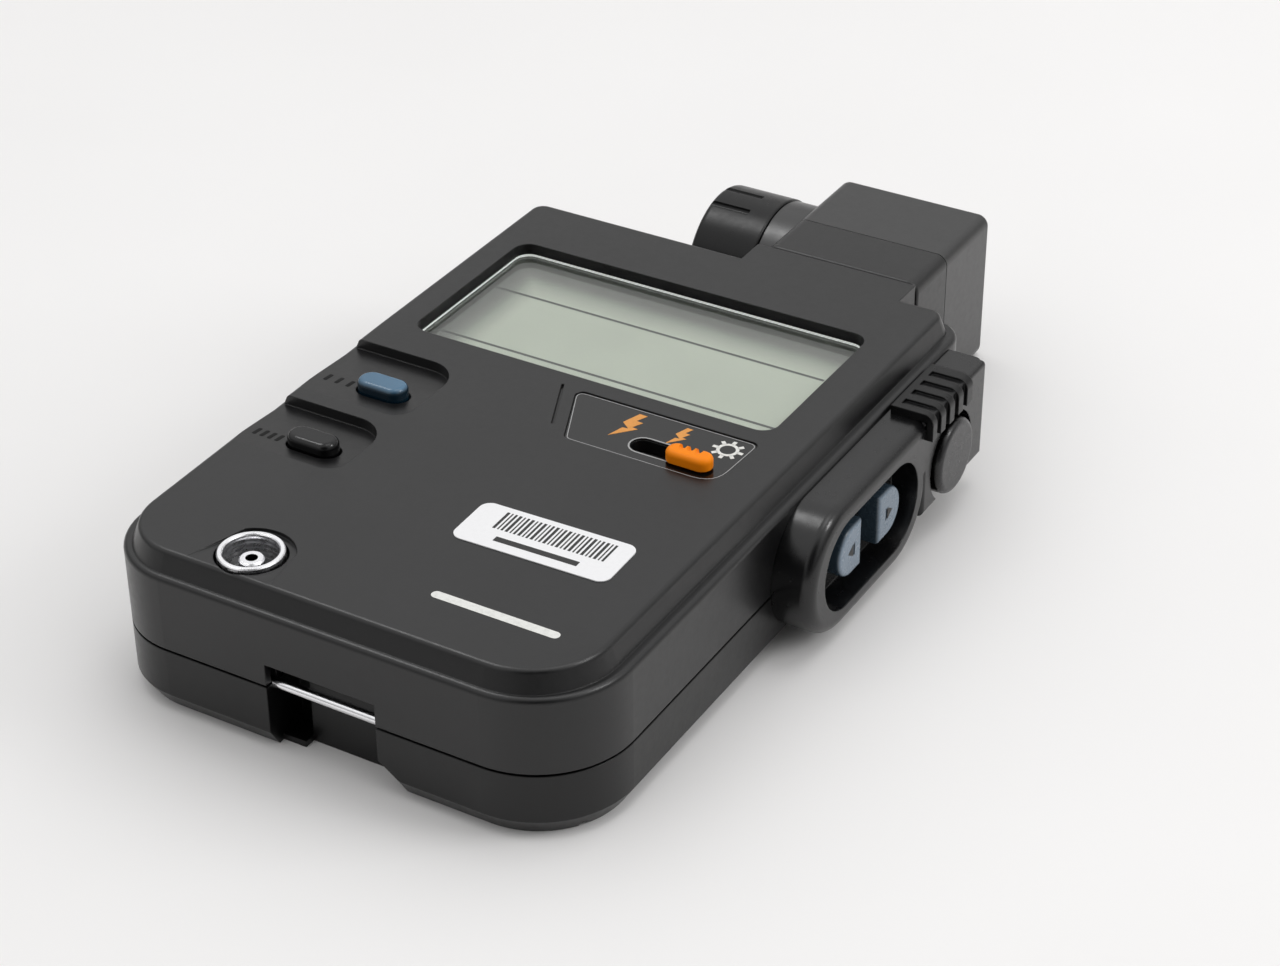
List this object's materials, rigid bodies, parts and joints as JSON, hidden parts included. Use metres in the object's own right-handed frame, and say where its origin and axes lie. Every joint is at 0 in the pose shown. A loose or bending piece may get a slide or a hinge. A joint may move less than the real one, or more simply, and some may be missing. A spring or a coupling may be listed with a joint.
{
  "type": "hand-held light meter",
  "caption": "Hand-held flash and ambient light meter with swivelling receptor head, display, slide switch, side keys, measuring button and flash sync socket.",
  "frame": {"origin": "middle of the body's flat back, on the resting plane", "axes": "+X across the body towards the measuring button, +Y along the body towards the swivelling head, +Z out of the display face"},
  "size_m": [0.0716, 0.121, 0.0232],
  "materials": {
    "front_cover": "fine satin black moulding",
    "rear_cover": "fine satin black moulding",
    "case_screws": "blackened cross-head screws",
    "strap_bar": "bright plated bar",
    "lcd_window": "clear bevelled window",
    "lcd_panel": "grey-green display glass",
    "lcd_reflector": "silvered film",
    "contact_strips": "layered conductive rubber",
    "main_board": "green circuit board",
    "controller_chip": "moulded chip",
    "button_domes": "pressed snap domes",
    "mode_plate": "glossy printed film",
    "mode_switch": "moulded slide switch",
    "mode_knob": "orange moulding",
    "iso_button": "blue-grey moulding",
    "ev_button": "glossy black moulding",
    "sync_shell": "bright plated ring",
    "sync_insulator": "dark insulator",
    "sync_contact": "bright plated tube",
    "asset_label": "white printed sticker",
    "grip_housing": "fine satin black moulding",
    "grip_cap": "ribbed black moulding",
    "measure_button": "satin dark grey moulding",
    "measure_switch": "moulded switch body",
    "decrease_key": "blue-grey moulding",
    "increase_key": "blue-grey moulding",
    "key_board": "green circuit board",
    "key_domes": "pressed snap domes",
    "aa_battery": "printed steel can",
    "battery_plus_contact": "nickel-plated strip",
    "battery_spring": "nickel-plated wire",
    "battery_door": "fine satin black moulding",
    "head_base": "fine satin black moulding",
    "head_cover": "fine satin dark moulding",
    "swivel_tube": "turned tube",
    "friction_washer": "natural slip washer",
    "receptor_collar": "satin black moulding",
    "receptor_ring": "satin black moulding",
    "diffuser_disc": "opal white plastic",
    "colour_filter": "blue-green filter glass",
    "photocell": "sealed sensor package",
    "cell_board": "green circuit board",
    "sensor_lead": "sheathed flexible lead"
  },
  "bodies": {
    "body": {"front_cover": "front_cover", "rear_cover": "rear_cover", "case_screws": "case_screws", "strap_bar": "strap_bar", "lcd_window": "lcd_window", "lcd_panel": "lcd_panel", "lcd_reflector": "lcd_reflector", "contact_strips": "contact_strips", "main_board": "main_board", "controller_chip": "controller_chip", "button_domes": "button_domes", "mode_plate": "mode_plate", "mode_switch": "mode_switch", "sync_shell": "sync_shell", "sync_insulator": "sync_insulator", "sync_contact": "sync_contact", "asset_label": "asset_label", "grip_housing": "grip_housing", "grip_cap": "grip_cap", "measure_switch": "measure_switch", "key_board": "key_board", "key_domes": "key_domes", "aa_battery": "aa_battery", "battery_plus_contact": "battery_plus_contact", "battery_spring": "battery_spring", "friction_washer": "friction_washer"},
    "mode_knob": {"mode_knob": "mode_knob"},
    "iso_button": {"iso_button": "iso_button"},
    "ev_button": {"ev_button": "ev_button"},
    "decrease_key": {"decrease_key": "decrease_key"},
    "increase_key": {"increase_key": "increase_key"},
    "measure_button": {"measure_button": "measure_button"},
    "battery_door": {"battery_door": "battery_door"},
    "head": {"head_base": "head_base", "head_cover": "head_cover", "swivel_tube": "swivel_tube", "receptor_collar": "receptor_collar", "diffuser_disc": "diffuser_disc", "colour_filter": "colour_filter", "photocell": "photocell", "cell_board": "cell_board", "sensor_lead": "sensor_lead"},
    "receptor_ring": {"receptor_ring": "receptor_ring"}
  },
  "joints": [
    {"name": "head_swivel", "type": "hinge", "parent": "body", "child": "head", "pos_m": [0.0133, 0.0504, 0.01075], "axis": [0, 1, 0], "range_deg": [-90, 180]},
    {"name": "receptor_ring_turn", "type": "hinge", "parent": "head", "child": "receptor_ring", "pos_m": [-0.0065, 0.0623, 0.01075], "axis": [1, 0, 0], "range_deg": [0, 20]},
    {"name": "mode_slide", "type": "slide", "parent": "body", "child": "mode_knob", "axis": [1, 0, 0], "range_m": [-0.0048, 0]},
    {"name": "iso_press", "type": "slide", "parent": "body", "child": "iso_button", "axis": [0, 0, -1], "range_m": [0, 0.0006], "stiffness_N_per_m": 800, "springref_m": -0.0005},
    {"name": "ev_press", "type": "slide", "parent": "body", "child": "ev_button", "axis": [0, 0, -1], "range_m": [0, 0.0006], "stiffness_N_per_m": 800, "springref_m": -0.0005},
    {"name": "decrease_press", "type": "slide", "parent": "body", "child": "decrease_key", "axis": [-1, 0, 0], "range_m": [0, 0.0005], "stiffness_N_per_m": 800, "springref_m": -0.0005},
    {"name": "increase_press", "type": "slide", "parent": "body", "child": "increase_key", "axis": [-1, 0, 0], "range_m": [0, 0.0005], "stiffness_N_per_m": 800, "springref_m": -0.0005},
    {"name": "measure_press", "type": "slide", "parent": "body", "child": "measure_button", "axis": [-1, 0, 0], "range_m": [0, 0.0008], "stiffness_N_per_m": 900, "springref_m": -0.0005},
    {"name": "battery_door_slide", "type": "slide", "parent": "body", "child": "battery_door", "axis": [0, -1, 0], "range_m": [0, 0.004]}
  ]
}
